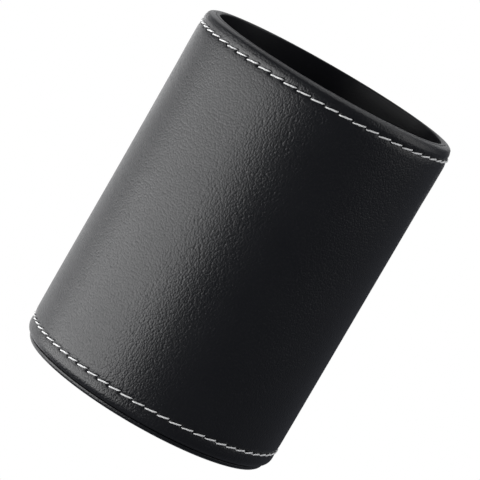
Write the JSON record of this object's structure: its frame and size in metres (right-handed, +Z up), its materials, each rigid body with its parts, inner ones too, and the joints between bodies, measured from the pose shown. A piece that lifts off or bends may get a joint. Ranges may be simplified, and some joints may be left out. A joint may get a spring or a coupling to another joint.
{
  "type": "pen holder cup",
  "caption": "Round black leatherette desk cup for pens: a wrapped board tube with a lined bore, a rounded rim, white stitching near both ends and a felt underside.",
  "frame": {"origin": "centre of the underside, where the felt pad meets the desk", "axes": "+Z up along the cup's axis towards the open rim, +Y towards the back, where the upright seam is"},
  "size_m": [0.0806, 0.0806, 0.107],
  "materials": {
    "leatherette": "satin",
    "base_leatherette": "satin",
    "lining": "matte",
    "interlining": "matte",
    "greyboard": "matte",
    "felt": "matte",
    "thread": "satin",
    "bobbin_thread": "satin"
  },
  "bodies": {
    "root": {"outer_wrap": "leatherette", "wrap_interlining": "interlining", "core_tube": "greyboard", "liner_board": "greyboard", "liner_sheet": "lining", "floor_lining": "lining", "floor_board": "greyboard", "bottom_board": "greyboard", "base_board": "greyboard", "base_cover": "base_leatherette", "base_pad": "felt", "top_stitching": "thread", "top_bobbin_thread": "bobbin_thread", "bottom_stitching": "thread", "bottom_bobbin_thread": "bobbin_thread"}
  },
  "joints": []
}
